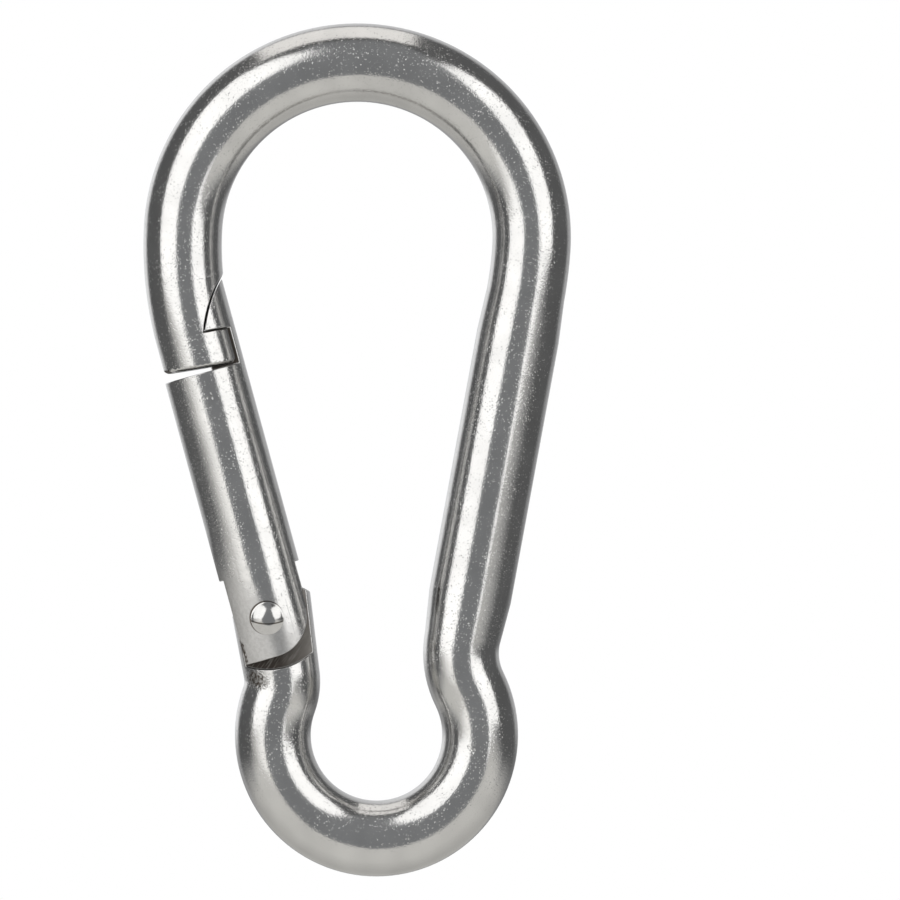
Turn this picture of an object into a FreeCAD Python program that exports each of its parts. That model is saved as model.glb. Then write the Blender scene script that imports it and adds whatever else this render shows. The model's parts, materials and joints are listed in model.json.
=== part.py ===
import FreeCAD, Part

import math
import os
from collections import namedtuple

# Snap hook for hanging a hammock: a bent round steel bar closed by a sprung, riveted gate.
# X runs to the right, Y into the depth and Z up. The origin is the seat inside the top of the big bow,
# where the load hangs. Sizes are in millimetres and angles in degrees.

# Bent bar
LENGTH = 100.0            # over both bows
BAR_D = 9.7               # bar as drawn, and as it stays on the straight leg
BOW_THINNING = 0.5        # what bending takes off the bar's diameter round the big bow
EYE_THINNING = 0.8        # the same round the small bow
DRAW_LENGTH = 5.0         # length of leg over which the bar regains its diameter
BOW_SEAT_R = 15.85        # inside radius of the big bow
EYE_SEAT_R = 7.7          # inside radius of the small bow
EYE_SHIFT = 2.25          # centre of the small bow, to the right of the big bow's
LEG_STANDOFF = 0.17       # the leg's axis passes this far outside the big bow's centre line
NOSE_STANDOFF = 0.98      # so does the common axis of nose, gate and tang
LEG_INSET = 4.3           # the leg's axis cuts this far into the small bow's centre line
TANG_INSET = 3.95         # so does the gate's axis
LEG_EASE_R = 48.0         # bend from the big bow into the leg
NOSE_EASE_R = 39.5        # bend from the big bow into the nose
LEG_KINK_R = 9.5          # reverse bend from the leg into the small bow
TANG_KINK_R = 6.2         # reverse bend from the small bow into the tang

# Nose
NOSE_DROP = 10.05         # nose end, below the big bow's centre along the gate's axis
NOSE_BEVEL = 6.0          # slope of the end face
NOSE_ROUND = 0.7          # rounding of its edge

# Gate
GATE_D = 9.65
NOSE_GAP = 0.58           # from the gate's top face to the nose, on the axis
PIVOT_RISE = 16.6         # rivet, above the small bow's centre along the gate's axis
PIVOT_OFFSET = 0.45       # rivet, outside the gate's axis
FORK_SLOT_W = 4.2
FORK_SLOT_RISE = 5.55     # end of the slot, above the rivet
CHEEK_DROP = 4.65         # lower edge of the cheeks, below the rivet
CHEEK_ROUND_R = 4.6       # rounding of their inner lower corner, about the rivet
CHEEK_FLAT_Y = 4.3        # flats for the rivet heads, from the middle plane
CHEEK_FLAT_RISE = 2.1     # where the flats start to run out, above the rivet
CHEEK_RUNOUT_R = 40.0     # radius of the run-out, wide enough to blend into the bar
CHEEK_RUNOUT_TURN = 15.0  # how much of that circle is used

# Latch
NECK_W = 4.2              # neck between the nose's two prongs
NECK_U = 1.35             # its outer face, from the rivet towards the hook's inside
NECK_RISE = 4.68          # barb, above the gate's top face
HEAD_RISE = 5.4           # head's tip, above the barb
HEAD_ARC_R = 16.0         # rounded back of the head
HEAD_U = 1.85             # root of that arc, from the rivet
LATCH_GAP = 0.2           # play between latch and nose

# Tang
TANG_T = 3.9
TANG_LEAN = 6.5           # tang, against the gate's axis
TANG_SHIFT = 0.6          # tang's axis passes the rivet this far towards the hook's inside
TANG_RISE = 5.0           # bar's end before the cam is cut, above the rivet
SHOULDER_R = 8.1          # concave shoulder below the cheeks
SHOULDER_LIFT = 2.0       # its centre, above the rivet
TANG_BACK_R = 4.1         # rounded outer side of the tang, about the rivet
CAM_HEIGHT = 3.4          # plunger's face above the rivet while the gate is shut
CAM_BASE_R = 2.2          # lift of the plunger per radian of gate
CAM_END = 42.0            # widest turn of the gate
CAM_POINTS = 7
CAM_GAP = 0.05            # running gap below the plunger

# Rivet
RIVET_D = 3.0
RIVET_HEAD_D = 3.85
RIVET_HEAD_H = 0.72
RIVET_PLAY = 0.1          # in the tang's hole, on the diameter
RIVET_FIT = 0.02          # in the cheeks' holes, on the diameter

# Spring and plunger
BORE_D = 4.3
BORE_CAP = 5.7            # solid gate above the bore
PLUNGER_PLAY = 0.2        # in the bore, on the diameter
PLUNGER_L = 6.5
PLUNGER_CHAMFER = 0.2
SPRING_WIRE_D = 0.7
SPRING_PLAY = 0.4         # in the bore, on the diameter
SPRING_TURNS = 5
SPRING_WIRE_SIDES = 8     # the thin wire is drawn eight-sided

# Modelling aids
REACH = BAR_D             # cutters run this far past what they cut

DEPTH = FreeCAD.Vector(0, 1, 0)
Run = namedtuple("Run", "up out bow_foot eye_foot")
Bend = namedtuple("Bend", "centre on_run on_bow")


def heading(vector):
    """Angle of an in-plane vector, clockwise from +Z as seen from the front."""
    return math.degrees(math.atan2(vector.x, vector.z))


def direction(angle):
    """In-plane unit vector at that angle."""
    return FreeCAD.Vector(math.sin(math.radians(angle)), 0, math.cos(math.radians(angle)))


def straight_run(side, from_bow, from_eye):
    """Straight axis that passes both bow centres at given distances, on side +1 (right) or -1 (left)."""
    span = BOW_CENTRE - EYE_CENTRE
    lean = math.degrees(math.asin((from_bow - from_eye) / span.Length))
    up = direction(heading(span) + side * lean)
    out = DEPTH.cross(up) * side
    return Run(up, out, BOW_CENTRE + out * from_bow, EYE_CENTRE + out * from_eye)


def tang_run():
    """The tang's own axis, which passes close to the rivet and leans inwards from the gate's."""
    up = direction(heading(UP) + TANG_LEAN)
    out = up.cross(DEPTH)
    through = PIVOT + IN * TANG_SHIFT
    feet = [centre + out * (through - centre).dot(out) for centre in (BOW_CENTRE, EYE_CENTRE)]
    return Run(up, out, *feet)


def ease_bend(run, radius):
    """Wide bend between the big bow and a straight run, tangent to both."""
    offset = (run.bow_foot - BOW_CENTRE).Length
    drop = math.sqrt((radius - BOW_R) ** 2 - (radius - offset) ** 2)
    on_run = run.bow_foot - run.up * drop
    centre = on_run - run.out * radius
    return Bend(centre, on_run, BOW_CENTRE + direction(heading(BOW_CENTRE - centre)) * BOW_R)


def kink_bend(run, radius):
    """Reverse bend between a straight run and the small bow, tangent to both."""
    offset = (run.eye_foot - EYE_CENTRE).Length
    rise = math.sqrt((EYE_R + radius) ** 2 - (offset + radius) ** 2)
    on_run = run.eye_foot + run.up * rise
    centre = on_run + run.out * radius
    return Bend(centre, on_run, EYE_CENTRE + direction(heading(centre - EYE_CENTRE)) * EYE_R)


BOW_BAR_D = BAR_D - BOW_THINNING
EYE_BAR_D = BAR_D - EYE_THINNING
BOW_R = BOW_SEAT_R + BOW_BAR_D / 2
EYE_R = EYE_SEAT_R + EYE_BAR_D / 2
BOW_CENTRE = FreeCAD.Vector(0, 0, -BOW_SEAT_R)
EYE_CENTRE = FreeCAD.Vector(EYE_SHIFT, 0, BOW_BAR_D - LENGTH + EYE_BAR_D + EYE_SEAT_R)
LEG_RUN = straight_run(1, BOW_R + LEG_STANDOFF, EYE_R - LEG_INSET)
GATE_RUN = straight_run(-1, BOW_R + NOSE_STANDOFF, EYE_R - TANG_INSET)

# The gate's own axes: u towards the hook's inside, v up along the gate, both from the rivet
UP = GATE_RUN.up
IN = GATE_RUN.out * -1
PIVOT = GATE_RUN.eye_foot + UP * PIVOT_RISE - IN * PIVOT_OFFSET
TANG_RUN = tang_run()
NOSE_V = (GATE_RUN.bow_foot - PIVOT).dot(UP) - NOSE_DROP
GATE_TOP = NOSE_V - NOSE_GAP
BARB_R = math.hypot(HEAD_U, GATE_TOP + NECK_RISE)
BORE_END = GATE_TOP - BORE_CAP


def at(u, v, y=0.0):
    """Point in the gate's axes."""
    return PIVOT + IN * u + UP * v + DEPTH * y


def line(start, end):
    """Straight edge between two (u, v) points."""
    return Part.makeLine(at(*start), at(*end))


def arc(centre, start, end):
    """Short arc about a (u, v) centre, from one (u, v) point to another."""
    radius = math.dist(centre, start)
    mid = [(a + b) / 2 - c for a, b, c in zip(start, end, centre)]
    stretch = radius / math.hypot(*mid)
    crest = [c + m * stretch for c, m in zip(centre, mid)]
    return Part.Arc(at(*start), at(*crest), at(*end)).toShape()


def outline(points):
    """Closed run of straight edges."""
    return [line(a, b) for a, b in zip(points, points[1:] + points[:1])]


def plate(edges, y_from, y_to):
    """Closed (u, v) outline, extruded through the depth."""
    face = Part.Face(Part.Wire(Part.__sortEdges__(edges)))
    face.translate(DEPTH * y_from)
    return face.extrude(DEPTH * (y_to - y_from))


def both_cheeks(edges, inner_y):
    """The same cutter on the front and on the back, outside inner_y."""
    return plate(edges, inner_y, REACH).fuse(plate(edges, -REACH, -inner_y))


def gate_rod(diameter, v_from, v_to):
    """Cylinder on the gate's axis."""
    return Part.makeCylinder(diameter / 2, v_to - v_from, at(PIVOT_OFFSET, v_from), UP)


def pivot_rod(diameter):
    """Cylinder on the rivet's axis, right through."""
    return Part.makeCylinder(diameter / 2, 2 * REACH, at(0, 0, -REACH), DEPTH)


def bar_length(start, end, start_d, end_d):
    """Straight length of bar, drawn down evenly from one diameter to the other."""
    along = end - start
    if start_d == end_d:
        return Part.makeCylinder(start_d / 2, along.Length, start, along)
    return Part.makeCone(start_d / 2, end_d / 2, along.Length, start, along)


def bar_bend(centre, start, end, clockwise, diameter):
    """Bend of round bar from one point of the centre line to another."""
    turn = (heading(end - centre) - heading(start - centre)) % 360
    tangent = DEPTH.cross(start - centre)
    section = Part.Face(Part.Wire(Part.Circle(start, tangent, diameter / 2).toShape()))
    return section.revolve(centre, DEPTH, turn if clockwise else turn - 360)


def nose_bar(top):
    """Straight nose below the big bow, with its sloped and rounded end."""
    bar = bar_length(at(PIVOT_OFFSET, NOSE_V - REACH / 2), top, BOW_BAR_D, BOW_BAR_D)
    slope = math.tan(math.radians(NOSE_BEVEL)) * REACH
    corners = [(-REACH, NOSE_V + slope), (REACH, NOSE_V - slope)]
    corners += [(REACH, NOSE_V - REACH), (-REACH, NOSE_V - REACH)]
    bar = bar.cut(plate(outline(corners), -REACH, REACH))
    end_face = min(bar.Faces, key=lambda face: face.CenterOfMass.dot(UP))
    return bar.makeFillet(NOSE_ROUND, end_face.Edges)


def bent_bar():
    """The whole bar from the nose round both bows to the tang, before milling."""
    nose = ease_bend(GATE_RUN, NOSE_EASE_R)
    leg = ease_bend(LEG_RUN, LEG_EASE_R)
    leg_kink = kink_bend(LEG_RUN, LEG_KINK_R)
    tang_kink = kink_bend(TANG_RUN, TANG_KINK_R)
    tang_end = at(TANG_SHIFT, 0) + TANG_RUN.up * TANG_RISE
    full_from = leg.on_run - LEG_RUN.up * DRAW_LENGTH
    full_to = leg_kink.on_run + LEG_RUN.up * DRAW_LENGTH
    lengths = [
        bar_bend(nose.centre, nose.on_run, nose.on_bow, True, BOW_BAR_D),
        bar_bend(BOW_CENTRE, nose.on_bow, leg.on_bow, True, BOW_BAR_D),
        bar_bend(leg.centre, leg.on_bow, leg.on_run, True, BOW_BAR_D),
        bar_length(leg.on_run, full_from, BOW_BAR_D, BAR_D),
        bar_length(full_from, full_to, BAR_D, BAR_D),
        bar_length(full_to, leg_kink.on_run, BAR_D, EYE_BAR_D),
        bar_bend(leg_kink.centre, leg_kink.on_run, leg_kink.on_bow, False, EYE_BAR_D),
        bar_bend(EYE_CENTRE, leg_kink.on_bow, tang_kink.on_bow, True, EYE_BAR_D),
        bar_bend(tang_kink.centre, tang_kink.on_bow, tang_kink.on_run, False, EYE_BAR_D),
        bar_length(tang_kink.on_run, tang_end, EYE_BAR_D, BAR_D),
    ]
    return nose_bar(nose.on_run).multiFuse(lengths)


def latch_outline(gap):
    """Back and barb of the latch head, with the given play all round."""
    tip = (PIVOT_OFFSET + GATE_D / 2, GATE_TOP + NECK_RISE + HEAD_RISE)
    root = (HEAD_U, GATE_TOP + NECK_RISE)
    chord = math.dist(root, tip)
    sag = math.sqrt(HEAD_ARC_R ** 2 - chord ** 2 / 4)
    across = ((tip[1] - root[1]) / chord, (root[0] - tip[0]) / chord)
    centre = tuple((a + b) / 2 + sag * c for a, b, c in zip(root, tip, across))
    barb_r = BARB_R - gap
    back_r = HEAD_ARC_R + gap
    far_u = tip[0] + HEAD_RISE / 2
    far_top = (far_u, centre[1] + math.sqrt(back_r ** 2 - (far_u - centre[0]) ** 2))
    far_low = (far_u, math.sqrt(barb_r ** 2 - far_u ** 2))
    corner = circles_meet(centre, back_r, barb_r)
    return [arc(centre, corner, far_top), line(far_top, far_low), arc((0, 0), far_low, corner)]


def circles_meet(centre, radius, pivot_radius):
    """Outer crossing of a circle with a circle about the rivet."""
    reach = math.hypot(*centre)
    along = (pivot_radius ** 2 - radius ** 2 + reach ** 2) / (2 * reach)
    aside = math.sqrt(pivot_radius ** 2 - along ** 2)
    unit = (centre[0] / reach, centre[1] / reach)
    return (unit[0] * along - unit[1] * aside, unit[1] * along + unit[0] * aside)


def neck_outline(gap):
    """Neck of the latch, from below the gate's top face up into the head."""
    low = GATE_TOP - NOSE_GAP
    high = GATE_TOP + NECK_RISE + gap
    far_u = PIVOT_OFFSET + GATE_D
    return outline([(NECK_U - gap, low), (far_u, low), (far_u, high), (NECK_U - gap, high)])


def shoulder_outline():
    """Room for the cheeks: open above, with a concave shoulder below."""
    centre = (PIVOT_OFFSET, SHOULDER_LIFT)
    left = (PIVOT_OFFSET - SHOULDER_R, SHOULDER_LIFT)
    right = (PIVOT_OFFSET + SHOULDER_R, SHOULDER_LIFT)
    low = (PIVOT_OFFSET, SHOULDER_LIFT - SHOULDER_R)
    top = [left, (left[0], REACH), (right[0], REACH), right]
    return [arc(centre, left, low), arc(centre, low, right)] + [line(a, b) for a, b in zip(top, top[1:])]


def cam_point(turn):
    """Point of the involute that lifts a flat plunger evenly with the gate's turn."""
    face = CAM_HEIGHT - CAM_GAP + CAM_BASE_R * turn
    u = CAM_BASE_R * math.cos(turn) + face * math.sin(turn)
    v = face * math.cos(turn) - CAM_BASE_R * math.sin(turn)
    return (u, v)


def cam_outline():
    """Everything above the tang's end: flat, then the cam, then straight on."""
    last = math.radians(CAM_END)
    cam = [cam_point(last * step / (CAM_POINTS - 1)) for step in range(CAM_POINTS)]
    curve = Part.BSplineCurve()
    curve.interpolate([at(*point) for point in cam])
    far = (cam[-1][0] + REACH * math.cos(last), cam[-1][1] - REACH * math.sin(last))
    rest = [cam[-1], far, (far[0], REACH), (-REACH, REACH), (-REACH, cam[0][1]), cam[0]]
    return [curve.toShape()] + [line(a, b) for a, b in zip(rest, rest[1:])]


def tang_back_outline():
    """Everything behind the tang's rounded outer side."""
    top = (0, TANG_BACK_R)
    side = (-TANG_BACK_R, 0)
    rest = [side, (-REACH, 0), (-REACH, REACH), (0, REACH), top]
    return [arc((0, 0), top, side)] + [line(a, b) for a, b in zip(rest, rest[1:])]


def hook_body():
    """Bent bar with the latch's slot and notch in its nose and the milled tang at its other end."""
    body = bent_bar()
    body = body.cut(plate(latch_outline(LATCH_GAP), -REACH, REACH))
    slot_half = NECK_W / 2 + LATCH_GAP
    body = body.cut(plate(neck_outline(LATCH_GAP), -slot_half, slot_half))
    body = body.cut(both_cheeks(shoulder_outline(), TANG_T / 2))
    body = body.cut(plate(cam_outline(), -TANG_T, TANG_T))
    body = body.cut(plate(tang_back_outline(), -TANG_T, TANG_T))
    return body.cut(pivot_rod(RIVET_D + RIVET_PLAY))


def cheek_flat_outline():
    """Side view of one cheek's flat with its round run-out, as (v, y) turned into the depth."""
    low = -CHEEK_DROP - CHEEK_RUNOUT_R
    start = at(-REACH, low, CHEEK_FLAT_Y)
    bend = at(-REACH, CHEEK_FLAT_RISE, CHEEK_FLAT_Y)
    swing = math.radians(CHEEK_RUNOUT_TURN)
    half = [CHEEK_RUNOUT_R * math.sin(swing / 2), CHEEK_RUNOUT_R * (1 - math.cos(swing / 2))]
    full = [CHEEK_RUNOUT_R * math.sin(swing), CHEEK_RUNOUT_R * (1 - math.cos(swing))]
    middle = at(-REACH, CHEEK_FLAT_RISE + half[0], CHEEK_FLAT_Y + half[1])
    end = at(-REACH, CHEEK_FLAT_RISE + full[0], CHEEK_FLAT_Y + full[1])
    corner = at(-REACH, low, CHEEK_FLAT_Y + full[1])
    edges = [Part.makeLine(start, bend), Part.Arc(bend, middle, end).toShape()]
    return edges + [Part.makeLine(end, corner), Part.makeLine(corner, start)]


def cheek_flats():
    """Cutters for the flats under the rivet heads, front and back."""
    back = Part.Face(Part.Wire(cheek_flat_outline())).extrude(IN * (2 * REACH))
    front = back.mirror(PIVOT, DEPTH)
    return back.fuse(front)


def cheek_corner_outline():
    """Everything outside the rounded inner lower corner of the cheeks."""
    side = (CHEEK_ROUND_R, 0)
    low = (0, -CHEEK_ROUND_R)
    rest = [side, (REACH, 0), (REACH, -REACH), (0, -REACH), low]
    return [arc((0, 0), low, side)] + [line(a, b) for a, b in zip(rest, rest[1:])]


def latch():
    """T-shaped latch: a flat neck and a full round head with a barb on both sides."""
    rod = gate_rod(GATE_D, GATE_TOP - NOSE_GAP, GATE_TOP + 2 * (NECK_RISE + HEAD_RISE))
    neck = plate(neck_outline(0), -NECK_W / 2, NECK_W / 2)
    head = plate(latch_outline(0), -GATE_D, GATE_D)
    return rod.common(neck.fuse(head))


def gate():
    """Round gate with its latch, fork, flattened cheeks and spring bore."""
    body = gate_rod(GATE_D, -CHEEK_DROP, GATE_TOP).fuse(latch())
    fork = [(-REACH, -REACH), (REACH, -REACH), (REACH, FORK_SLOT_RISE), (-REACH, FORK_SLOT_RISE)]
    body = body.cut(plate(outline(fork), -FORK_SLOT_W / 2, FORK_SLOT_W / 2))
    body = body.cut(gate_rod(BORE_D, 0, BORE_END))
    body = body.cut(cheek_flats())
    body = body.cut(plate(cheek_corner_outline(), -GATE_D, GATE_D))
    return body.cut(pivot_rod(RIVET_D + RIVET_FIT)).removeSplitter()


def pivot_rivet():
    """Rivet with a domed head on each cheek, turned about the depth axis."""
    top_y = CHEEK_FLAT_Y + RIVET_HEAD_H
    dome_r = (RIVET_HEAD_D ** 2 / 4 + RIVET_HEAD_H ** 2) / (2 * RIVET_HEAD_H)
    half_u = RIVET_HEAD_D / 4
    half_y = top_y - dome_r + math.sqrt(dome_r ** 2 - half_u ** 2)
    rim = RIVET_HEAD_D / 2
    shank = RIVET_D / 2
    corners = [at(rim, 0, -CHEEK_FLAT_Y), at(shank, 0, -CHEEK_FLAT_Y)]
    corners += [at(shank, 0, CHEEK_FLAT_Y), at(rim, 0, CHEEK_FLAT_Y)]
    edges = [Part.makeLine(a, b) for a, b in zip(corners, corners[1:])]
    edges.append(Part.Arc(corners[-1], at(half_u, 0, half_y), at(0, 0, top_y)).toShape())
    edges.append(Part.makeLine(at(0, 0, top_y), at(0, 0, -top_y)))
    edges.append(Part.Arc(at(0, 0, -top_y), at(half_u, 0, -half_y), corners[0]).toShape())
    return Part.Face(Part.Wire(edges)).revolve(PIVOT, DEPTH, 360)


def spring_plunger():
    """Flat-ended pin in the gate's bore, resting on the tang's cam."""
    pin = gate_rod(BORE_D - PLUNGER_PLAY, CAM_HEIGHT, CAM_HEIGHT + PLUNGER_L)
    rims = [edge for edge in pin.Edges if edge.Closed]
    return pin.makeChamfer(PLUNGER_CHAMFER, rims)


def gate_spring():
    """Compression spring between the plunger and the end of the bore."""
    wire_r = SPRING_WIRE_D / 2
    coil_r = (BORE_D - SPRING_PLAY) / 2 - wire_r
    low = CAM_HEIGHT + PLUNGER_L + wire_r
    height = BORE_END - wire_r - low
    corners = []
    for side in range(SPRING_WIRE_SIDES + 1):
        angle = 2 * math.pi * side / SPRING_WIRE_SIDES
        corners.append(FreeCAD.Vector(coil_r + wire_r * math.cos(angle), 0, wire_r * math.sin(angle)))
    helix = Part.makeHelix(height / SPRING_TURNS, height, coil_r)
    coil = Part.Wire(helix.Edges).makePipeShell([Part.makePolygon(corners)], True, True)
    coil.rotate(FreeCAD.Vector(0, 0, 0), DEPTH, heading(UP))
    coil.translate(at(PIVOT_OFFSET, low))
    return coil


PIECES = (hook_body, gate, pivot_rivet, spring_plunger, gate_spring)

os.makedirs("parts", exist_ok=True)
for piece in PIECES:
    shape = piece()
    shape.exportStep("parts/" + piece.__name__ + ".step")
    print(piece.__name__, len(shape.Solids), shape.isValid(), round(shape.Volume, 2))
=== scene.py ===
import json
import math

import bmesh
import bpy
import numpy as np
from mathutils import Matrix, Vector, noise


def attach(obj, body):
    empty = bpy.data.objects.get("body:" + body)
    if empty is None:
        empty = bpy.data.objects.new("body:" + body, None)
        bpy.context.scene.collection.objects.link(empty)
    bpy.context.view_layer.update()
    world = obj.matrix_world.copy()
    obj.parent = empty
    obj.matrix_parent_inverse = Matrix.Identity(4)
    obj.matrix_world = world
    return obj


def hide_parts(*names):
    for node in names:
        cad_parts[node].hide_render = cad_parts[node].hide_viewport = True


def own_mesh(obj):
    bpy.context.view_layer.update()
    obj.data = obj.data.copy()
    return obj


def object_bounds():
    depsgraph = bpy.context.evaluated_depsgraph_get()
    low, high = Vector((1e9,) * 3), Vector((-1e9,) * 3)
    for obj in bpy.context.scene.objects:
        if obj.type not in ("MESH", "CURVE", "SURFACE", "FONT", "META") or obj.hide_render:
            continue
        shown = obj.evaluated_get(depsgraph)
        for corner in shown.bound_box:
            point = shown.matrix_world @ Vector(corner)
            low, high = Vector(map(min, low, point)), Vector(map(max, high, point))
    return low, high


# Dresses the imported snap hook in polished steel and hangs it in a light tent.
# Everything is in metres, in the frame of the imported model: X right, Y into the depth, Z up.

bl_info = {
    "name": "Hammock hook",
    "version": (1, 0, 0),
    "blender": (4, 5, 0),
    "location": "3D View > Sidebar > Hook",
    "description": "Polished steel snap hook with a sprung gate, in a light tent",
    "category": "Object",
}

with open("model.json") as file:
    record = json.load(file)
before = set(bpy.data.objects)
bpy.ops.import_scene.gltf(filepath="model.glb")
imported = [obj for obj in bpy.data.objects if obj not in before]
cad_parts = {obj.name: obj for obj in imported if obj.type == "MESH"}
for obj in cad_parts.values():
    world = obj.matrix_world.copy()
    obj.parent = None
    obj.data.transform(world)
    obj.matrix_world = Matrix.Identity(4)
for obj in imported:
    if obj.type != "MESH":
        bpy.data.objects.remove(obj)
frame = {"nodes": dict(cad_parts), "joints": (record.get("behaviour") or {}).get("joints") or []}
CAD_BOX = [list(corner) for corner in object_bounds()]
JOINTS = {joint["name"]: joint for joint in frame["joints"]}
MM = 0.001

# The gate's own axes, as in the solids: v up along the gate, u towards the hook's inside, from the rivet
PIVOT = Vector(JOINTS["gate_hinge"]["pos_m"])
GATE_UP = Vector(JOINTS["plunger_slide"]["axis"]).normalized()
GATE_IN = Vector((GATE_UP.z, 0, -GATE_UP.x))


def at(u, v):
    """Point in the gate's axes, given in millimetres."""
    return PIVOT + GATE_IN * (u * MM) + GATE_UP * (v * MM)


def plane(point):
    """(x, z) of a point in millimetres."""
    return (point.x / MM, point.z / MM)


# Centre line of the bent bar from nose to tang, in millimetres (x, z).
# A straight has its two ends and the bar's diameter at each; a bend has its way, centre, two ends and diameter.
BAR_RUNS = (
    ("straight", (-18.0177, -31.1996), (-19.0783, -27.3235), 9.2, 9.2),
    ("clockwise", (19.0211, -16.8983), (-19.0783, -27.3235), (-20.4190, -14.7246), 9.2),
    ("clockwise", (0.0, -15.85), (-20.4190, -14.7246), (20.3988, -17.2963), 9.2),
    ("clockwise", (-27.4810, -13.9016), (20.3988, -17.2963), (19.7268, -22.5861), 9.2),
    ("straight", (19.7268, -22.5861), (18.8222, -27.5036), 9.2, 9.7),
    ("straight", (18.8222, -27.5036), (13.2181, -57.9666), 9.7, 9.7),
    ("straight", (13.2181, -57.9666), (12.3134, -62.8841), 9.7, 8.9),
    ("counter", (21.6567, -64.6029), (12.3134, -62.8841), (13.1410, -68.8141), 8.9),
    ("clockwise", (2.25, -74.2), (13.1410, -68.8141), (-9.1662, -70.0415), 8.9),
    ("counter", (-14.9917, -67.9195), (-9.1662, -70.0415), (-8.8648, -66.9706), 8.9),
    ("straight", (-8.8648, -66.9706), (-10.6610, -55.3721), 8.9, 9.7),
)
GATE_AXIS_U, GATE_BAR_D = 0.45, 9.65  # the axis of the gate's bar lies a little inside the rivet
GATE_RUNS = (("straight", plane(at(GATE_AXIS_U, -10)), plane(at(GATE_AXIS_U, 45)), GATE_BAR_D, GATE_BAR_D),)
LAY_R = 4.7  # one radius for the whole UV map, so that the buffing lines keep their spacing

# Where the finishes meet, in millimetres: heights along the gate from the rivet, half widths in the depth
TANG_TOP, SLOT_HALF = 29.5, 2.35
BORE_TOP, BORE_R = 29.5, 2.6
FORK_TOP, FORK_HALF = 8.0, 2.2
NECK_FOOT, NECK_HALF, HEAD_FOOT = 29.7, 2.2, 33.9
CHEEK_FLAT_Y = 4.3
CHEEK_FROM_Y, NO_CHEEK_Y = 4.25, 99.0  # faces further out in the depth belong to a cheek

# Grinding took roundness off the cheeks' outer side: share, tilt from which it did, heights between which it grows
FLATTER, FLAT_FROM, FLAT_HIGH, FLAT_LOW = 0.55, math.radians(14), 10.0, 2.0

# Marks: middle in millimetres, half width and half length, lean in degrees
BODY_NICKS = (((13.15, -4.4, -75.65), 0.15, 0.42, -40), ((13.65, -4.4, -76.0), 0.16, 0.28, 25))
BODY_SCARS = (((-11.95, -3.4, -67.55), 1.9, 1.15, 20),)
GATE_NICKS = (((-16.95, -4.8, -34.5), 0.11, 0.42, -18), ((-17.45, -4.8, -34.75), 0.12, 0.16, 10))
GATE_SCARS = (((-13.3, -2.6, -64.4), 0.32, 1.9, -16),)

# Finishes by material index, the third a dark colour painted as shade in recesses, and kinds of face
POLISHED, MILLED, RECESS_SHADE = range(3)
BAR, ROUNDING, CROWN, CUT = range(4)
SHARP = math.radians(28)  # edges above this angle are rounded
MIDDLE_MISS, CORNER_MISS, CHEEK_MISS = 0.08, 0.07, 0.03  # a bar face's reach off the true surface, in millimetres
BAR_FACING, CROWN_FACING = 0.9, 0.8  # least cosine between a face and the bar's own normal
LEAVES_BAR, SAME_CUT = 0.7, 0.5  # least cosines for a cut that runs smoothly off the bar, and for one smooth cut
MERGE = 1e-6  # points of a solid's mesh closer than this, in metres, are one


class SteelSettings(bpy.types.PropertyGroup):
    """Colours and polish of the steel."""

    polished: bpy.props.FloatVectorProperty(
        name="Polished steel", description="Colour of the polished bar", subtype="COLOR_GAMMA", size=3,
        default=(0.835, 0.831, 0.823), min=0, max=1)
    milled: bpy.props.FloatVectorProperty(
        name="Milled steel", description="Colour of the milled tang, fork and bore", subtype="COLOR_GAMMA", size=3,
        default=(0.73, 0.71, 0.685), min=0, max=1)
    # Dark colour of real stains on the bar; it is also painted shade in the latch and round the hinge, and a painted
    # dark reflection on the rivet
    stain_and_shade: bpy.props.FloatVectorProperty(
        name="Stain and shade", description="Colour of stains, and of shade painted in the latch and round the hinge", subtype="COLOR_GAMMA", size=3,
        default=(0.37, 0.345, 0.32), min=0, max=1)
    polish: bpy.props.FloatProperty(
        name="Polish", description="Roughness of the polished bar", subtype="FACTOR", default=0.15, min=0, max=1)
    edge_round: bpy.props.FloatProperty(
        name="Edge rounding", description="Width of the broken edges", unit="LENGTH", default=0.11 * MM, min=0)


class SpringSettings(bpy.types.PropertyGroup):
    """The compression spring inside the gate."""

    wire: bpy.props.FloatProperty(
        name="Wire", description="Diameter of the wire", unit="LENGTH", default=0.7 * MM, min=0)
    coil: bpy.props.FloatProperty(
        name="Coil radius", description="Radius at the middle of the wire", unit="LENGTH", default=1.6 * MM, min=0)
    turns: bpy.props.FloatProperty(name="Turns", description="Turns of the coil", default=5.0, min=1)
    low: bpy.props.FloatProperty(
        name="Lower end", description="Foot of the spring above the rivet", unit="LENGTH", default=9.9 * MM)
    high: bpy.props.FloatProperty(
        name="Upper end", description="Top of the spring above the rivet", unit="LENGTH", default=23.945 * MM)


class StageSettings(bpy.types.PropertyGroup):
    """Camera, floor and light tent."""

    lens: bpy.props.FloatProperty(
        name="Lens", description="Focal length on a 36 mm sensor, in millimetres", default=400.0, min=1)
    distance: bpy.props.FloatProperty(
        name="Distance", description="From the camera to the hook's middle plane", unit="LENGTH", default=1.1723)
    aim: bpy.props.FloatVectorProperty(
        name="Aim", description="Point in the hook's middle plane at the picture's centre", subtype="XYZ",
        unit="LENGTH", default=(0.010865, 0.0, -0.04081))
    floor_drop: bpy.props.FloatProperty(
        name="Floor", description="Height of the floor", unit="LENGTH", default=-0.125)
    tent: bpy.props.FloatProperty(
        name="Tent radius", description="Radius of the light tent", unit="LENGTH", default=0.6)


def linear(code):
    """Linear RGBA of an sRGB hex value, or of three sRGB parts from 0 to 1."""
    parts = [int(code[i:i + 2], 16) / 255 for i in (1, 3, 5)] if isinstance(code, str) else code
    return tuple(c / 12.92 if c <= 0.04045 else ((c + 0.055) / 1.055) ** 2.4 for c in parts) + (1.0,)


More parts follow.
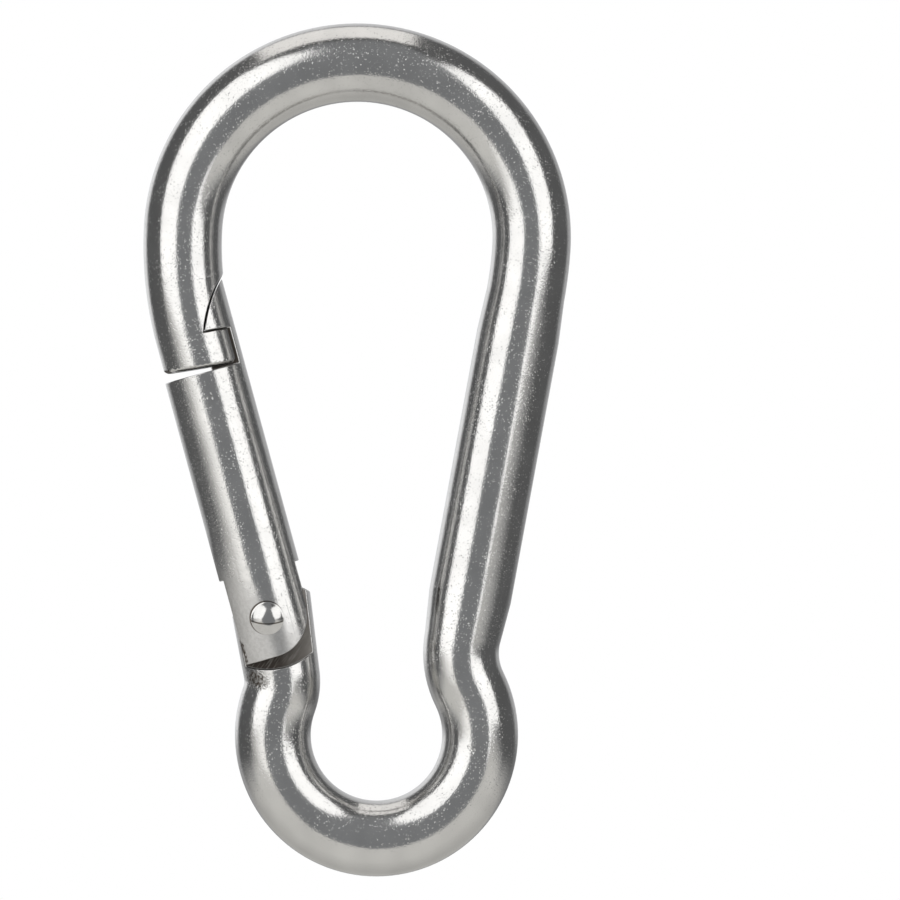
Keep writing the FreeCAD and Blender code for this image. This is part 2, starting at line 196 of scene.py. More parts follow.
def add(tree, kind, inputs=(), **settings):
    """Adds a node with its settings; inputs holds a value or an output socket for each input."""
    node = tree.nodes.new(kind)
    for name, value in settings.items():
        setattr(node, name, value)
    for key, value in dict(inputs).items():
        if isinstance(value, bpy.types.NodeSocket):
            tree.links.new(value, node.inputs[key])
        else:
            node.inputs[key].default_value = value
    return node


def finished(bm, name):
    """Mesh of a finished bmesh, which is freed."""
    mesh = bpy.data.meshes.new(name)
    bm.to_mesh(mesh)
    bm.free()
    return mesh


def show(name, mesh, materials=()):
    """Links a mesh into the scene as an object at the origin."""
    obj = bpy.data.objects.new(name, mesh)
    bpy.context.scene.collection.objects.link(obj)
    for material in materials:
        mesh.materials.append(material)
    return obj


def seat(obj, body, node):
    """Lets a finished piece ride on its body in place of its solid."""
    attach(obj, body)
    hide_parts(node)


# Materials


def new_tree(name):
    """A new material and its empty tree."""
    material = bpy.data.materials.new(name)
    material.use_nodes = True
    material.node_tree.nodes.clear()
    return material, material.node_tree


def placed_tree(name):
    """A new material, its tree and the place on the piece."""
    material, tree = new_tree(name)
    return material, tree, add(tree, "ShaderNodeTexCoord").outputs["Object"]


def close_metal(tree, colour, roughness, height, depth):
    """Metal shader with a bump; height times depth is in millimetres."""
    bump = add(tree, "ShaderNodeBump", {"Height": height, "Distance": depth * MM, "Strength": 1.0})
    shader = add(tree, "ShaderNodeBsdfPrincipled", {
        "Base Color": colour, "Metallic": 1.0, "Roughness": roughness, "Normal": bump.outputs[0]})
    add(tree, "ShaderNodeOutputMaterial", {"Surface": shader.outputs[0]})


def patches(tree, place, marks):
    """Mask of irregular spots, given by middle, half width, half length and lean: 1 inside each, 0 outside."""
    ragged = add(tree, "ShaderNodeTexNoise", {"Vector": place, "Scale": 1 / (0.3 * MM), "Detail": 2.0}).outputs[0]
    mask = 0.0
    for middle, wide, long, lean in marks:
        spot = add(tree, "ShaderNodeMapping", {
            "Vector": place, "Location": [c * MM for c in middle], "Rotation": (0, math.radians(lean), 0),
            "Scale": (wide * MM, 2.5 * MM, long * MM)}, vector_type="TEXTURE")
        away = add(tree, "ShaderNodeVectorMath", {0: spot.outputs[0]}, operation="LENGTH").outputs["Value"]
        away = add(tree, "ShaderNodeMath", {0: ragged, 1: 1.4, 2: away}, operation="MULTIPLY_ADD").outputs[0]
        near = add(tree, "ShaderNodeMapRange", {"Value": away, "From Min": 1.7, "From Max": 1.2}).outputs[0]
        mask = add(tree, "ShaderNodeMath", {0: mask, 1: near}, operation="MAXIMUM").outputs[0]
    return mask


def pits(tree, place):
    """1 in the middle of each pit: uneven, up to 0.15 mm wide, some eight on each square millimetre."""
    drift = add(tree, "ShaderNodeTexNoise", {"Vector": place, "Scale": 1 / (0.13 * MM), "Detail": 1.0})
    uneven = add(tree, "ShaderNodeVectorMath", {
        0: drift.outputs["Color"], 1: [0.2 * MM] * 3, 2: place}, operation="MULTIPLY_ADD")
    cells = add(tree, "ShaderNodeTexVoronoi", {"Vector": uneven.outputs[0], "Scale": 1 / (0.28 * MM)})
    hole = add(tree, "ShaderNodeMapRange", {
        "Value": cells.outputs["Distance"], "From Min": 0.36, "From Max": 0.06}).outputs[0]
    chance = add(tree, "ShaderNodeSeparateColor", {"Color": cells.outputs["Color"]}).outputs[0]
    depth = add(tree, "ShaderNodeMapRange", {"Value": chance, "From Min": 0.05, "From Max": 1.0}).outputs[0]
    return add(tree, "ShaderNodeMath", {0: hole, 1: depth}, operation="MULTIPLY").outputs[0]


def satin_fade(tree, place):
    """1 on the cheeks, where grinding dulled the polish; it fades out raggedly up the gate and to the inner side."""
    climb = GATE_UP + 1.4 * GATE_IN
    rivet = PIVOT.dot(climb)
    rise = add(tree, "ShaderNodeVectorMath", {0: place, 1: climb}, operation="DOT_PRODUCT").outputs["Value"]
    ragged = add(tree, "ShaderNodeTexNoise", {"Vector": place, "Scale": 1 / (0.7 * MM), "Detail": 2.0}).outputs[0]
    rise = add(tree, "ShaderNodeMath", {0: ragged, 1: 5 * MM, 2: rise}, operation="MULTIPLY_ADD").outputs[0]
    return add(tree, "ShaderNodeMapRange", {
        "Value": rise, "From Min": rivet + 8.0 * MM, "From Max": rivet + 1.0 * MM},
        interpolation_type="SMOOTHSTEP").outputs[0]


def rim_shadow(tree, place):
    """1 in the painted shadow line round the rivet head, widest at its upper left and gone at its lower right."""
    spoke = add(tree, "ShaderNodeVectorMath", {0: place, 1: PIVOT}, operation="SUBTRACT").outputs[0]
    spoke = add(tree, "ShaderNodeVectorMath", {0: spoke, 1: (1, 0, 1)}, operation="MULTIPLY").outputs[0]
    away = add(tree, "ShaderNodeVectorMath", {0: spoke}, operation="LENGTH").outputs["Value"]
    side = add(tree, "ShaderNodeVectorMath", {0: spoke, 1: (0.05, 0, -0.035)}, operation="DOT_PRODUCT")
    away = add(tree, "ShaderNodeMath", {0: away, 1: side.outputs["Value"]}, operation="ADD").outputs[0]
    return add(tree, "ShaderNodeMapRange", {"Value": away, "From Min": 2.05 * MM, "From Max": 1.94 * MM}).outputs[0]


def polished_stainless(name, settings, nicks, scars, riveted):
    """Stainless bar, tumbled and buffed: a clear mirror whose edges waver, with pits that sparkle in the dark."""
    material, tree, place = placed_tree(name)
    lay = add(tree, "ShaderNodeUVMap", uv_map="bar_lay").outputs["UV"]
    # Waves of 4 mm left by the bending and buffing
    wave = add(tree, "ShaderNodeTexNoise", {"Vector": place, "Scale": 1 / (4 * MM), "Detail": 1.0}).outputs[0]
    # Tumbling grain of about 0.3 mm, coarser than the real 0.1 mm so that it shows
    grain = add(tree, "ShaderNodeTexNoise", {"Vector": place, "Scale": 1 / (0.3 * MM), "Detail": 2.0}).outputs[0]
    # Buffing lines 0.25 mm apart and 8 mm long
    stretch = add(tree, "ShaderNodeMapping", {"Vector": lay, "Scale": (1 / (8 * MM), 1 / (0.25 * MM), 1.0)})
    lines = add(tree, "ShaderNodeTexNoise", {"Vector": stretch.outputs[0], "Scale": 1.0, "Detail": 1.0}).outputs[0]
    # The grain is heavy in some places and light in others, some 3 mm across
    heavy = add(tree, "ShaderNodeTexNoise", {"Vector": place, "Scale": 1 / (3 * MM), "Detail": 2.0}).outputs[0]
    heavy = add(tree, "ShaderNodeMapRange", {
        "Value": heavy, "From Min": 0.42, "From Max": 0.62, "To Min": 0.5, "To Max": 1.0}).outputs[0]
    peel = add(tree, "ShaderNodeMath", {0: grain, 1: heavy}, operation="MULTIPLY").outputs[0]
    pit = add(tree, "ShaderNodeMath", {0: pits(tree, place), 1: heavy}, operation="MULTIPLY").outputs[0]
    nick, scar = patches(tree, place, nicks), patches(tree, place, scars)
    torn = add(tree, "ShaderNodeTexNoise", {"Vector": place, "Scale": 1 / (0.35 * MM), "Detail": 3.0}).outputs[0]
    mottle = add(tree, "ShaderNodeMapRange", {
        "Value": torn, "From Min": 0.42, "From Max": 0.58, "To Min": 0.45, "To Max": 1.0}).outputs[0]
    torn = add(tree, "ShaderNodeMath", {0: torn, 1: scar}, operation="MULTIPLY").outputs[0]
    stain_and_rim_shadow = add(tree, "ShaderNodeMath", {0: mottle, 1: scar}, operation="MULTIPLY").outputs[0]
    # Heights in microns
    height = 0.0
    for part, microns in ((wave, 14.0), (peel, 14.0), (lines, 4.0), (pit, -25.0), (nick, -45.0), (torn, 90.0)):
        height = add(tree, "ShaderNodeMath", {0: part, 1: microns, 2: height}, operation="MULTIPLY_ADD").outputs[0]
    # Shares of roughness on top of the polish; the cheeks are satin and a little stained
    parts = [(grain, 0.06), (scar, 0.3)]
    if riveted:
        satin = satin_fade(tree, place)
        parts.append((satin, 0.26))
        dull = add(tree, "ShaderNodeMath", {0: mottle, 1: satin}, operation="MULTIPLY").outputs[0]
        stain_and_rim_shadow = add(tree, "ShaderNodeMath", {0: dull, 1: 0.2, 2: stain_and_rim_shadow}, operation="MULTIPLY_ADD").outputs[0]
        # the painted shadow line round the rivet head is laid over the stains
        stain_and_rim_shadow = add(tree, "ShaderNodeMath", {0: stain_and_rim_shadow, 1: rim_shadow(tree, place)}, operation="MAXIMUM").outputs[0]
    rough = settings.polish - 0.03
    for part, share in parts:
        rough = add(tree, "ShaderNodeMath", {0: part, 1: share, 2: rough}, operation="MULTIPLY_ADD").outputs[0]
    shade = add(tree, "ShaderNodeMapRange", {"Value": wave, "From Min": 0.3, "From Max": 0.7}).outputs[0]
    deep = [c * 0.95 for c in settings.polished]
    colour = add(tree, "ShaderNodeMix", {0: shade, 6: linear(settings.polished), 7: linear(deep)}, data_type="RGBA")
    colour = add(tree, "ShaderNodeMix", {
        0: stain_and_rim_shadow, 6: colour.outputs[2], 7: linear(settings.stain_and_shade)}, data_type="RGBA")
    close_metal(tree, colour.outputs[2], rough, height, 0.001)
    return material


def milled_steel(name, tint, shade_colour):
    """Slots, bore and tang as the cutter left them: dull and brownish, with close tool marks, and shade painted
    darker round the hinge.
    """
    material, tree, place = placed_tree(name)
    # Tool marks 0.35 mm apart
    marks = add(tree, "ShaderNodeTexWave", {
        "Vector": place, "Scale": 1 / (20 * 0.35 * MM) * math.pi, "Distortion": 2.0, "Detail": 2.0,
        "Detail Scale": 1.5}, wave_type="BANDS", bands_direction="DIAGONAL").outputs[1]
    grain = add(tree, "ShaderNodeTexNoise", {"Vector": place, "Scale": 1 / (0.5 * MM), "Detail": 3.0}).outputs[0]
    relief = add(tree, "ShaderNodeMath", {0: marks, 1: 3.0, 2: grain}, operation="MULTIPLY_ADD").outputs[0]
    rough = add(tree, "ShaderNodeMath", {0: grain, 1: 0.2, 2: 0.38}, operation="MULTIPLY_ADD").outputs[0]
    dark = [c * 0.8 for c in tint]
    colour = add(tree, "ShaderNodeMix", {0: grain, 6: linear(tint), 7: linear(dark)}, data_type="RGBA")
    # Painted shade lies round the hinge, darkest on its outer side and low down, and fades towards the inner side
    rivet_in, rivet_up = PIVOT.dot(GATE_IN), PIVOT.dot(GATE_UP)
    inward = add(tree, "ShaderNodeVectorMath", {0: place, 1: GATE_IN}, operation="DOT_PRODUCT").outputs["Value"]
    inward = add(tree, "ShaderNodeMath", {0: grain, 1: 3 * MM, 2: inward}, operation="MULTIPLY_ADD").outputs[0]
    corner_shade = add(tree, "ShaderNodeMapRange", {
        "Value": inward, "From Min": rivet_in + 6.5 * MM, "From Max": rivet_in + 1.0 * MM}).outputs[0]
    height = add(tree, "ShaderNodeVectorMath", {0: place, 1: GATE_UP}, operation="DOT_PRODUCT").outputs["Value"]
    low = add(tree, "ShaderNodeMapRange", {
        "Value": height, "From Min": rivet_up + 12 * MM, "From Max": rivet_up + 6 * MM}).outputs[0]
    corner_shade = add(tree, "ShaderNodeMath", {0: corner_shade, 1: low}, operation="MULTIPLY").outputs[0]
    # Lighter streaks, about 2 mm long and 0.2 mm wide, break the painted shade
    slant = add(tree, "ShaderNodeMapping", {
        "Vector": place, "Rotation": (0, math.radians(-53), 0), "Scale": (2.2 * MM, 2.2 * MM, 0.2 * MM)},
        vector_type="TEXTURE").outputs[0]
    streaks = add(tree, "ShaderNodeTexNoise", {"Vector": slant, "Scale": 1.0, "Detail": 1.0}).outputs[0]
    streaks = add(tree, "ShaderNodeMapRange", {
        "Value": streaks, "From Min": 0.52, "From Max": 0.66, "To Min": 1.0, "To Max": 0.45}).outputs[0]
    corner_shade = add(tree, "ShaderNodeMath", {0: corner_shade, 1: streaks}, operation="MULTIPLY").outputs[0]
    # the painted shade darkens the milled colour towards the hinge corner
    colour = add(tree, "ShaderNodeMix", {0: corner_shade, 6: colour.outputs[2], 7: linear(shade_colour)}, data_type="RGBA")
    close_metal(tree, colour.outputs[2], rough, relief, 0.002)
    return material


def hammered_rivet_steel(name, settings):
    """Rivet head set with a hammer and buffed with the rest: bright, with shallow dents and a painted dark
    reflection of the horizon.
    """
    material, tree, place = placed_tree(name)
    dents = add(tree, "ShaderNodeTexNoise", {"Vector": place, "Scale": 1 / (0.9 * MM), "Detail": 1.0}).outputs[0]
    grain = add(tree, "ShaderNodeTexNoise", {"Vector": place, "Scale": 1 / (0.2 * MM), "Detail": 2.0}).outputs[0]
    height = add(tree, "ShaderNodeMath", {0: dents, 1: 6.0, 2: grain}, operation="MULTIPLY_ADD").outputs[0]
    rough = add(tree, "ShaderNodeMath", {0: grain, 1: 0.08, 2: settings.polish - 0.03}, operation="MULTIPLY_ADD")
    dark = [c * 0.92 for c in settings.polished]
    colour = add(tree, "ShaderNodeMix", {0: dents, 6: linear(settings.polished), 7: linear(dark)}, data_type="RGBA")
    # A painted reflection of the horizon, a dark line 0.1 mm wide, crosses the front head and sags to 0.65 mm below
    # its middle
    spoke = add(tree, "ShaderNodeVectorMath", {0: place, 1: PIVOT}, operation="SUBTRACT").outputs[0]
    spoke = add(tree, "ShaderNodeSeparateXYZ", {0: spoke}).outputs
    bow = add(tree, "ShaderNodeMath", {0: spoke["X"], 1: spoke["X"]}, operation="MULTIPLY").outputs[0]
    bow = add(tree, "ShaderNodeMath", {0: bow, 1: -0.1 / MM, 2: spoke["Z"]}, operation="MULTIPLY_ADD").outputs[0]
    bow = add(tree, "ShaderNodeMath", {0: bow, 1: 0.65 * MM}, operation="ADD").outputs[0]
    bow = add(tree, "ShaderNodeMath", {0: bow}, operation="ABSOLUTE").outputs[0]
    horizon_line = add(tree, "ShaderNodeMapRange", {"Value": bow, "From Min": 0.12 * MM, "From Max": 0.03 * MM}).outputs[0]
    front = add(tree, "ShaderNodeMath", {0: spoke["Y"], 1: 0.0}, operation="LESS_THAN").outputs[0]
    horizon_line = add(tree, "ShaderNodeMath", {0: horizon_line, 1: front}, operation="MULTIPLY").outputs[0]
    # the painted horizon reflection darkens the front head's colour
    colour = add(tree, "ShaderNodeMix", {0: horizon_line, 6: colour.outputs[2], 7: linear(settings.stain_and_shade)}, data_type="RGBA")
    close_metal(tree, colour.outputs[2], rough.outputs[0], height, 0.001)
    return material


def turned_steel(name, tint, pitch, finish):
    """Free-cutting steel off the lathe, or drawn wire: grey, with fine rings or draw lines."""
    material, tree, place = placed_tree(name)
    along = add(tree, "ShaderNodeVectorMath", {0: place, 1: GATE_UP}, operation="DOT_PRODUCT").outputs["Value"]
    rings = add(tree, "ShaderNodeMath", {0: along, 1: 2 * math.pi / (pitch * MM)}, operation="MULTIPLY").outputs[0]
    rings = add(tree, "ShaderNodeMath", {0: rings}, operation="SINE").outputs[0]
    grain = add(tree, "ShaderNodeTexNoise", {"Vector": place, "Scale": 1 / (0.3 * MM), "Detail": 2.0}).outputs[0]
    height = add(tree, "ShaderNodeMath", {0: rings, 1: 0.4, 2: grain}, operation="MULTIPLY_ADD").outputs[0]
    rough = add(tree, "ShaderNodeMath", {0: grain, 1: 0.15, 2: finish}, operation="MULTIPLY_ADD").outputs[0]
    dark = [c * 0.85 for c in tint]
    colour = add(tree, "ShaderNodeMix", {0: grain, 6: linear(tint), 7: linear(dark)}, data_type="RGBA")
    close_metal(tree, colour.outputs[2], rough, height, 0.002)
    return material


# Polished steel pieces: copies of the solids' meshes with rounded edges, finer bends and true normals


def turn_of(way, centre, start, end):
    """Start angle and signed turn of a bend."""
    first = math.atan2(start[1] - centre[1], start[0] - centre[0])
    last = math.atan2(end[1] - centre[1], end[0] - centre[0])
    if way == "counter":
        return first, (last - first) % (2 * math.pi)
    return first, -((first - last) % (2 * math.pi))


def on_run(run, points):
    """For points in millimetres: offset from the run's centre line, side reach, radius, misfit, place and length."""
    if run[0] == "straight":
        start, end = np.array(run[1]), np.array(run[2])
        length = math.dist(start, end)
        ahead = np.tile((end - start) / length, (len(points), 1))
        place = ((points[:, ::2] - start) * ahead).sum(axis=1)
        inside = np.clip(place, 0, length)
        centre = start + inside[:, None] * ahead
        radius = (run[3] + (run[4] - run[3]) * inside / length) / 2
    else:
        first, turn = turn_of(*run[:4])
        bend_r = math.dist(run[1], run[2])
        length = abs(turn) * bend_r
        spoke = points[:, ::2] - np.array(run[1])
        angle = np.arctan2(spoke[:, 1], spoke[:, 0]) - first - turn / 2
        place = ((angle + math.pi) % (2 * math.pi) - math.pi + turn / 2) / turn * length
        inside = np.clip(place, 0, length)
        heading = first + turn * inside / length
        outward = np.column_stack((np.cos(heading), np.sin(heading)))
        centre = np.array(run[1]) + bend_r * outward
        ahead = np.column_stack((-outward[:, 1], outward[:, 0])) * math.copysign(1, turn)
        radius = np.full(len(points), run[4] / 2)
    offset = points - np.column_stack((centre[:, 0], np.zeros(len(points)), centre[:, 1]))
    side = offset[:, 2] * ahead[:, 0] - offset[:, 0] * ahead[:, 1]
    misfit = np.abs(np.linalg.norm(offset, axis=1) - radius) + np.abs(place - inside)
    return (offset, side, radius, misfit, inside), length


def fit_bar(points, runs):
    """For points in metres: offset from the centre line, side reach, radius, misfit, place along, in millimetres."""
    points = np.asarray(points, float).reshape(-1, 3) / MM
    best, travelled = on_run(runs[0], points)
    for run in runs[1:]:
        found, length = on_run(run, points)
        better = found[3] < best[3]
        found[4][:] += travelled
        travelled += length
        for kept, new in zip(best, found):
            kept[better] = new[better]
    return best


def unit(rows):
    """Rows scaled to length 1."""
    return rows / np.linalg.norm(rows, axis=1)[:, None]


def once(items):
    """Each item once, in the order they come, so that every run gives the same mesh."""
    return list(dict.fromkeys(items))


def face_kinds(bm, edge_layer, runs, crown_y):
    """Kind of each face: on the round bar, a rounding, a crowned cheek beyond crown_y (in mm), or cut."""
    bm.normal_update()
    middles = [f.calc_center_median() for f in bm.faces]
    offset, _, _, misfit, _ = fit_bar(middles, runs)
    facing = (unit(offset) * np.array([f.normal for f in bm.faces])).sum(axis=1)
    bm.verts.index_update()
    off_bar = fit_bar([v.co for v in bm.verts], runs)[3]
    worst = np.array([max(off_bar[v.index] for v in f.verts) for f in bm.faces])
    beyond = np.abs([m.y for m in middles]) > crown_y * MM
    near = (misfit < np.where(beyond, CHEEK_MISS, MIDDLE_MISS)) & (worst < np.where(beyond, CHEEK_MISS, CORNER_MISS))
    kind = np.where(beyond & (facing > CROWN_FACING), CROWN, CUT)
    kind[near & (facing > BAR_FACING)] = BAR
    kind[np.array([f[edge_layer] for f in bm.faces]) == 1] = ROUNDING
    return kind


def rounded_copy(node, edge_round):
    """Merged copy of a solid's mesh with its sharp edges rounded, and the layer that marks the roundings."""
    bm = bmesh.new()
    bm.from_mesh(frame["nodes"][node].data)
    bmesh.ops.remove_doubles(bm, verts=bm.verts, dist=MERGE)
    corners = once(v for e in bm.edges if e.calc_face_angle(0.0) > SHARP for v in e.verts)
    bmesh.ops.remove_doubles(bm, verts=corners, dist=1.5 * edge_round)
    bmesh.ops.dissolve_degenerate(bm, edges=bm.edges, dist=MERGE)
    edge_layer = bm.faces.layers.int.new("edge")
    sharp = [e for e in bm.edges if e.is_manifold and e.calc_face_angle(0.0) > SHARP]
    rounded = bmesh.ops.bevel(bm, geom=sharp, offset=edge_round, offset_type="OFFSET", segments=2,
                              profile=0.5, affect="EDGES", clamp_overlap=False)["faces"]
    for face in bm.faces:
        face[edge_layer] = 0
    for face in rounded:
        face[edge_layer] = 1
    bmesh.ops.triangulate(bm, faces=[f for f in bm.faces if len(f.verts) > 3])
    return bm, edge_layer


def refine_bar(bm, edge_layer, runs, rounds, crown_y):
    """Divides the faces on the bar and on crowned cheeks, and sets the bar's points on the true round surface."""
    for _ in range(rounds):
        kind = face_kinds(bm, edge_layer, runs, crown_y)
        edges = once(e for f, what in zip(bm.faces, kind) if what in (BAR, CROWN) for e in f.edges)
        bmesh.ops.subdivide_edges(bm, edges=edges, cuts=1, use_grid_fill=True)
        bmesh.ops.triangulate(bm, faces=[f for f in bm.faces if len(f.verts) > 3])
        kind = face_kinds(bm, edge_layer, runs, crown_y)
        verts = once(v for f, what in zip(bm.faces, kind) if what == BAR for v in f.verts)
        offset, _, radius, misfit, _ = fit_bar([v.co for v in verts], runs)
        push = offset * (radius / np.linalg.norm(offset, axis=1) - 1)[:, None] * MM
        for vert, shift, miss in zip(verts, push, misfit):
            if miss < CORNER_MISS:
                vert.co += Vector(shift)


def ease(low, high, values):
    """Smooth step from 0 at low to 1 at high."""
    share = np.clip((values - low) / (high - low), 0, 1)
    return share * share * (3 - 2 * share)


def crowned(mesh, radial):
    """The gate's radial normals, turned to the front or back on the cheeks' flatter outer side."""
    height = (np.array([v.co for v in mesh.vertices]) - np.array(PIVOT)) @ np.array(GATE_UP) / MM
    tilt = np.arctan2(radial @ np.array(GATE_IN), np.abs(radial[:, 1]))
    tilt += FLATTER * ease(FLAT_HIGH, FLAT_LOW, height) * np.maximum(-tilt - FLAT_FROM, 0)
    return (np.outer(np.sin(tilt), GATE_IN)
            + np.outer(np.copysign(np.cos(tilt), radial[:, 1]), (0, 1, 0)))


def true_normals(mesh, kind, radial):
    """Corner normals: the bar's own on the bar and on crowned cheeks, smooth on cuts and roundings."""
    normals = np.array([p.normal for p in mesh.polygons])
    areas = np.array([p.area for p in mesh.polygons])
    corners = np.array([p.vertices for p in mesh.polygons])
    around = [[] for _ in mesh.vertices]
    for face, verts in enumerate(corners):
        for vert in verts:
            around[vert].append(face)
    result = np.repeat(normals, 3, axis=0).reshape(-1, 3, 3)
    round_faces = (kind == BAR) | (kind == CROWN)
    result[round_faces] = radial[corners[round_faces]]
    for face in np.flatnonzero(~round_faces):
        for corner, vert in enumerate(corners[face]):
            near = around[vert]
            leaves = kind[face] == ROUNDING or normals[face] @ radial[vert] > LEAVES_BAR
            if leaves and any(round_faces[f] for f in near):
                result[face, corner] = radial[vert]
                continue
            group = [f for f in near if kind[f] == CUT] if kind[face] == ROUNDING else near
            group = [f for f in group or near if not round_faces[f] and normals[f] @ normals[face] > SAME_CUT]
            blend = (normals[group] * areas[group][:, None]).sum(axis=0)
            size = np.linalg.norm(blend)
            if size > 0:
                result[face, corner] = blend / size
    return result.reshape(-1, 3)


def lay_bar(mesh, runs):
    """UV map in metres, along and around the bar, so that buffing lines follow it; returns the radial normals."""
    offset, side, _, _, along = fit_bar([v.co for v in mesh.vertices], runs)
    around = np.arctan2(offset[:, 1], side)
    corners = np.array([p.vertices for p in mesh.polygons])
    turn = around[corners]
    turn[(np.ptp(turn, axis=1) > math.pi)[:, None] & (turn < 0)] += 2 * math.pi
    uv = np.dstack((along[corners], turn * LAY_R)) * MM
    mesh.uv_layers.new(name="bar_lay").data.foreach_set("uv", uv.ravel())
    return unit(offset)


def steel_copy(name, node, runs, edge_round, rounds, crown_y, finishes, finish_of):
    """Polished copy of a solid made from round bar; finish_of gives the finish of each cut face."""
    bm, edge_layer = rounded_copy(node, edge_round)
    refine_bar(bm, edge_layer, runs, rounds, crown_y)
    kind = face_kinds(bm, edge_layer, runs, crown_y)
    for face, what in zip(bm.faces, kind):
        face.smooth = True
        face.material_index = finish_of(face.calc_center_median()) if what == CUT else POLISHED
    mesh = finished(bm, name)
    radial = lay_bar(mesh, runs)
    if CROWN in kind:
        radial = crowned(mesh, radial)
    mesh.normals_split_custom_set(true_normals(mesh, kind, radial))
    return show(name, mesh, finishes)


def gate_finish(centre):
    """Milled fork, bore and latch head, and a neck between the prongs painted dark as shade; the rest is polished.
    """
    height = (centre - PIVOT).dot(GATE_UP) / MM
    away = math.hypot((centre - PIVOT).dot(GATE_IN) / MM - GATE_AXIS_U, centre.y / MM)
    depth = abs(centre.y) / MM
    bored = away < BORE_R and height < BORE_TOP
    forked = depth < FORK_HALF and height < FORK_TOP
    if bored or forked or height > HEAD_FOOT:
        return MILLED
    # the neck between the prongs gets a dark colour that stands for painted shade in the recess
    return RECESS_SHADE if depth < NECK_HALF and height > NECK_FOOT else POLISHED


def body_finish(centre):
    """Milled tang, and a slot and notch painted dark as shade; the nose's end is polished with the bar."""
    height = (centre - PIVOT).dot(GATE_UP) / MM
    if height < TANG_TOP:
        return MILLED
    # the slot and notch get a dark colour that stands for painted shade in the recess
    return RECESS_SHADE if abs(centre.y) / MM < SLOT_HALF else POLISHED


def turned_mesh(name, profile, centre, axis, steps):
    """Mesh turned about an axis from a profile of (radius, place along the axis) in metres."""
    bm = bmesh.new()
    side = axis.orthogonal().normalized()
    verts = [bm.verts.new(centre + axis * along + side * radius) for radius, along in profile]
    edges = [bm.edges.new(pair) for pair in zip(verts, verts[1:])]
    bmesh.ops.spin(bm, geom=verts + edges, cent=centre, axis=axis, angle=2 * math.pi, steps=steps)
    bmesh.ops.remove_doubles(bm, verts=bm.verts, dist=1e-7)
    bmesh.ops.dissolve_degenerate(bm, edges=bm.edges, dist=1e-8)
    bmesh.ops.recalc_face_normals(bm, faces=bm.faces)
    for face in bm.faces:
        face.smooth = True
    for edge in bm.edges:
        edge.smooth = edge.calc_face_angle(0.0) < math.radians(40)
    return finished(bm, name)


class HOOK_OT_body(bpy.types.Operator):
    """Makes the bent bar of the hook, polished all over, with a milled nose slot and tang"""

    bl_idname = "hammock_hook.body"
    bl_label = "Hook body"

    def execute(self, context):
        steel = context.scene.hook_steel
        finishes = (polished_stainless("polished_stainless_bar", steel, BODY_NICKS, BODY_SCARS, riveted=False),
                    milled_steel("milled_stainless_tang", steel.milled, steel.stain_and_shade),
                    # the latch slot's material is painted shade
                    milled_steel("shaded_latch_slot", steel.stain_and_shade, steel.stain_and_shade))
        obj = steel_copy("hook_body_polished", "hook_body", BAR_RUNS, steel.edge_round, rounds=1,
                         crown_y=NO_CHEEK_Y, finishes=finishes, finish_of=body_finish)
        seat(obj, "hook", "hook_body")
        return {"FINISHED"}


class HOOK_OT_gate(bpy.types.Operator):
    """Makes the gate: polished round bar with a latch head, a fork and ground cheeks"""

    bl_idname = "hammock_hook.gate"
    bl_label = "Gate"

    def execute(self, context):
        steel = context.scene.hook_steel
        finishes = (polished_stainless("polished_stainless_gate", steel, GATE_NICKS, GATE_SCARS, riveted=True),
                    milled_steel("milled_stainless_fork", steel.milled, steel.stain_and_shade),
                    # the latch neck's material is painted shade
                    milled_steel("shaded_latch_neck", steel.stain_and_shade, steel.stain_and_shade))
        obj = steel_copy("gate_polished", "gate", GATE_RUNS, steel.edge_round, rounds=2,
                         crown_y=CHEEK_FROM_Y, finishes=finishes, finish_of=gate_finish)
        seat(obj, "gate_arm", "gate")
        return {"FINISHED"}


class HOOK_OT_rivet(bpy.types.Operator):
    """Makes the pivot rivet: a shank with a hammered dome at each end"""

    bl_idname = "hammock_hook.rivet"
    bl_label = "Pivot rivet"

    def execute(self, context):
        head_r, shank_r, rise, flat = 1.925 * MM, 1.5 * MM, 0.72 * MM, CHEEK_FLAT_Y * MM
        dent, dent_width = 0.03 * MM, 0.8 * MM
        steps = 16
        dome_r = (head_r ** 2 + rise ** 2) / (2 * rise)
        half = math.asin(head_r / dome_r)
        dome = [(dome_r * math.sin(half * i / steps), flat + rise - dome_r * (1 - math.cos(half * i / steps)))
                for i in range(steps + 1)]
        profile = dome + [(shank_r, flat), (shank_r, -flat)] + [(r, -y) for r, y in reversed(dome)]
        mesh = turned_mesh("pivot_rivet_turned", profile, PIVOT, Vector((0, 1, 0)), steps=96)
        for vert in mesh.vertices:
            if abs(vert.co.y) > flat + 0.1 * rise:
                vert.co.y -= math.copysign(dent * (1 + noise.noise(vert.co / dent_width)), vert.co.y)
        steel = context.scene.hook_steel
        obj = show("pivot_rivet_turned", mesh, [hammered_rivet_steel("hammered_rivet_steel", steel)])
        seat(obj, "gate_arm", "pivot_rivet")
        return {"FINISHED"}


class HOOK_OT_plunger(bpy.types.Operator):
    """Gives the spring plunger its turned finish; its solid has the right shape"""

    bl_idname = "hammock_hook.plunger"
    bl_label = "Spring plunger"

    def execute(self, context):
        node = frame["nodes"]["spring_plunger"]
        node.data.materials.clear()
        node.data.materials.append(turned_steel(
            "turned_plunger_steel", tint=(0.78, 0.78, 0.78), pitch=0.3, finish=0.25))
        return {"FINISHED"}


